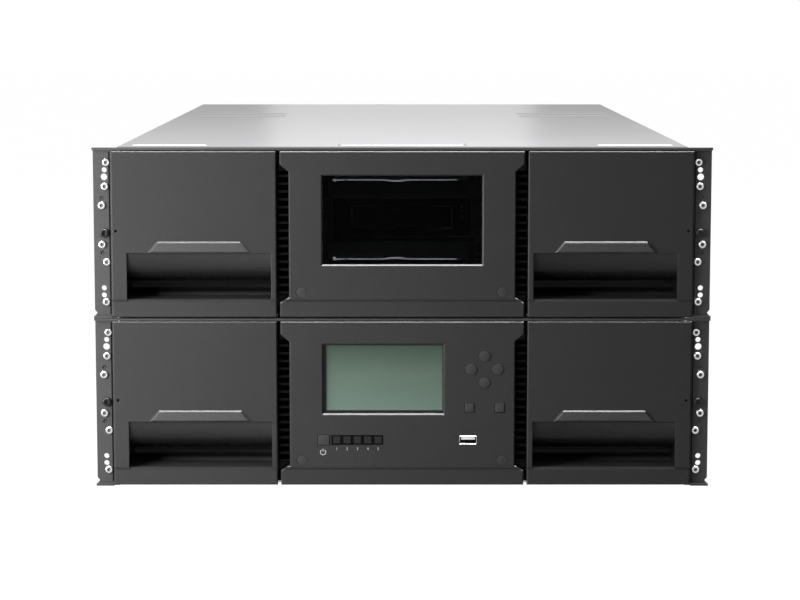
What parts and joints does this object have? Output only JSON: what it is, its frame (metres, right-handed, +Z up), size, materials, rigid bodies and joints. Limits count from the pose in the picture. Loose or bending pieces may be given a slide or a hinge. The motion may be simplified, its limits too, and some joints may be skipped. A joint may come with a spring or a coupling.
{
  "type": "data tape library",
  "caption": "Rack-mounted data tape library of two stacked modules: pull-out magazines at both sides, window and display panels between them, and a picker robot inside.",
  "frame": {"origin": "under the middle of the whole, on the surface it stands on", "axes": "+X along the front to the right as the front is looked at, +Y to the rear, +Z up"},
  "size_m": [0.4826, 0.8936, 0.2667],
  "materials": {
    "charcoal_moulding": "fine-textured satin moulding",
    "black_moulding": "satin moulding",
    "key_cap": "satin moulding",
    "coated_steel": "powder-coated sheet",
    "zinc_sheet": "zinc-plated sheet",
    "bright_steel": "plated and polished",
    "black_steel": "black oxide",
    "spring_steel": "bright",
    "clear_pane": "clear acrylic sheet",
    "display_panel": "grey-green liquid crystal panel",
    "circuit_board": "solder mask over glass-fibre laminate",
    "magazine_moulding": "satin moulding",
    "cartridge_shell": "satin moulding",
    "belt_rubber": "toothed belt",
    "gear_moulding": "natural acetal",
    "aluminium_casting": "as machined"
  },
  "bodies": {
    "chassis": {"base_floor": "zinc_sheet", "middle_decks": "zinc_sheet", "side_walls": "zinc_sheet", "top_cover": "zinc_sheet", "rear_top_cover": "zinc_sheet", "front_frames": "coated_steel", "lower_rack_ears": "coated_steel", "upper_rack_ears": "coated_steel", "ear_screws": "bright_steel", "captive_rack_screws": "black_steel", "upper_centre_panel": "charcoal_moulding", "lower_centre_panel": "charcoal_moulding", "status_light_bar": "black_moulding", "front_port": "bright_steel", "display_module": "display_panel", "panel_board": "circuit_board", "window_pane": "clear_pane", "window_clips": "spring_steel", "side_louvres": "black_moulding", "magazine_runners": "gear_moulding", "bay_walls": "zinc_sheet", "lift_racks": "gear_moulding", "lower_rear_panel": "zinc_sheet", "upper_rear_panel": "zinc_sheet", "blank_covers": "zinc_sheet"},
    "lower_left_magazine_body": {"lower_left_bezel": "charcoal_moulding", "lower_left_magazine": "magazine_moulding", "lower_left_cartridges": "cartridge_shell"},
    "lower_right_magazine_body": {"lower_right_bezel": "charcoal_moulding", "lower_right_magazine": "magazine_moulding", "lower_right_cartridges": "cartridge_shell"},
    "upper_left_magazine_body": {"upper_left_bezel": "charcoal_moulding", "upper_left_magazine": "magazine_moulding", "upper_left_cartridges": "cartridge_shell"},
    "upper_right_magazine_body": {"upper_right_bezel": "charcoal_moulding", "upper_right_magazine": "magazine_moulding", "upper_right_cartridges": "cartridge_shell"},
    "lift": {"lift_frame": "aluminium_casting", "lift_belts": "belt_rubber", "lift_motor": "black_steel"},
    "front_shaft": {"front_lift_shaft": "gear_moulding"},
    "rear_pinions": {"rear_lift_pinions": "gear_moulding"},
    "carriage": {"picker_carriage": "aluminium_casting"},
    "picker_tray": {"picker": "black_moulding"},
    "gripper_slide": {"gripper": "gear_moulding"},
    "up_key_cap": {"up_key": "key_cap"},
    "down_key_cap": {"down_key": "key_cap"},
    "left_key_cap": {"left_key": "key_cap"},
    "right_key_cap": {"right_key": "key_cap"},
    "back_key_cap": {"back_key": "key_cap"},
    "enter_key_cap": {"enter_key": "key_cap"},
    "power_key_cap": {"power_key": "key_cap"},
    "lower_drive_1_sled": {"lower_drive_1": "zinc_sheet"},
    "lower_drive_2_sled": {"lower_drive_2": "zinc_sheet"},
    "upper_drive_sled": {"upper_drive": "zinc_sheet"},
    "lower_supply": {"lower_power_supply": "zinc_sheet"},
    "lower_fan": {"lower_fan_rotor": "black_moulding"},
    "upper_supply": {"upper_power_supply": "zinc_sheet"},
    "upper_fan": {"upper_fan_rotor": "black_moulding"},
    "card": {"controller_card": "zinc_sheet"}
  },
  "joints": [
    {"name": "lower_left_magazine_slide", "type": "slide", "parent": "chassis", "child": "lower_left_magazine_body", "axis": [0, -1, 0], "range_m": [0, 0.46]},
    {"name": "lower_right_magazine_slide", "type": "slide", "parent": "chassis", "child": "lower_right_magazine_body", "axis": [0, -1, 0], "range_m": [0, 0.46]},
    {"name": "upper_left_magazine_slide", "type": "slide", "parent": "chassis", "child": "upper_left_magazine_body", "axis": [0, -1, 0], "range_m": [0, 0.46]},
    {"name": "upper_right_magazine_slide", "type": "slide", "parent": "chassis", "child": "upper_right_magazine_body", "axis": [0, -1, 0], "range_m": [0, 0.46]},
    {"name": "lift_travel", "type": "slide", "parent": "chassis", "child": "lift", "axis": [0, 0, 1], "range_m": [0, 0.22935]},
    {"name": "front_shaft_turn", "type": "hinge", "parent": "lift", "child": "front_shaft", "pos_m": [0, -0.41037, 0.0176], "axis": [1, 0, 0], "range_deg": [0, 1090]},
    {"name": "rear_pinions_turn", "type": "hinge", "parent": "lift", "child": "rear_pinions", "pos_m": [0, 0.14037, 0.0176], "axis": [1, 0, 0], "range_deg": [-1090, 0]},
    {"name": "picker_travel", "type": "slide", "parent": "lift", "child": "carriage", "axis": [0, 1, 0], "range_m": [0, 0.378]},
    {"name": "picker_turn", "type": "hinge", "parent": "carriage", "child": "picker_tray", "pos_m": [0, -0.3242, 0.0055], "axis": [0, 0, 1], "range_deg": [-90, 90]},
    {"name": "gripper_reach", "type": "slide", "parent": "picker_tray", "child": "gripper_slide", "axis": [0, 1, 0], "range_m": [0, 0.105]},
    {"name": "up_key_press", "type": "slide", "parent": "chassis", "child": "up_key_cap", "axis": [0, 1, 0], "range_m": [0, 0.0008], "stiffness_N_per_m": 300},
    {"name": "down_key_press", "type": "slide", "parent": "chassis", "child": "down_key_cap", "axis": [0, 1, 0], "range_m": [0, 0.0008], "stiffness_N_per_m": 300},
    {"name": "left_key_press", "type": "slide", "parent": "chassis", "child": "left_key_cap", "axis": [0, 1, 0], "range_m": [0, 0.0008], "stiffness_N_per_m": 300},
    {"name": "right_key_press", "type": "slide", "parent": "chassis", "child": "right_key_cap", "axis": [0, 1, 0], "range_m": [0, 0.0008], "stiffness_N_per_m": 300},
    {"name": "back_key_press", "type": "slide", "parent": "chassis", "child": "back_key_cap", "axis": [0, 1, 0], "range_m": [0, 0.0008], "stiffness_N_per_m": 300},
    {"name": "enter_key_press", "type": "slide", "parent": "chassis", "child": "enter_key_cap", "axis": [0, 1, 0], "range_m": [0, 0.0008], "stiffness_N_per_m": 300},
    {"name": "power_key_press", "type": "slide", "parent": "chassis", "child": "power_key_cap", "axis": [0, 1, 0], "range_m": [0, 0.0008], "stiffness_N_per_m": 300},
    {"name": "lower_drive_1_slide", "type": "slide", "parent": "chassis", "child": "lower_drive_1_sled", "axis": [0, 1, 0], "range_m": [0, 0.25]},
    {"name": "lower_drive_2_slide", "type": "slide", "parent": "chassis", "child": "lower_drive_2_sled", "axis": [0, 1, 0], "range_m": [0, 0.25]},
    {"name": "upper_drive_slide", "type": "slide", "parent": "chassis", "child": "upper_drive_sled", "axis": [0, 1, 0], "range_m": [0, 0.25]},
    {"name": "lower_power_supply_slide", "type": "slide", "parent": "chassis", "child": "lower_supply", "axis": [0, 1, 0], "range_m": [0, 0.2]},
    {"name": "lower_fan_spin", "type": "hinge", "parent": "lower_supply", "child": "lower_fan", "pos_m": [0.14, 0.4058, 0.041], "axis": [0, 1, 0], "continuous": true},
    {"name": "upper_power_supply_slide", "type": "slide", "parent": "chassis", "child": "upper_supply", "axis": [0, 1, 0], "range_m": [0, 0.2]},
    {"name": "upper_fan_spin", "type": "hinge", "parent": "upper_supply", "child": "upper_fan", "pos_m": [0.14, 0.4058, 0.17435], "axis": [0, 1, 0], "continuous": true},
    {"name": "controller_card_slide", "type": "slide", "parent": "chassis", "child": "card", "axis": [0, 1, 0], "range_m": [0, 0.16]}
  ],
  "couplings": [
    {"joint": "front_shaft_turn", "follows": "lift_travel", "rad_per_m": 82.457},
    {"joint": "rear_pinions_turn", "follows": "lift_travel", "rad_per_m": -82.457}
  ]
}
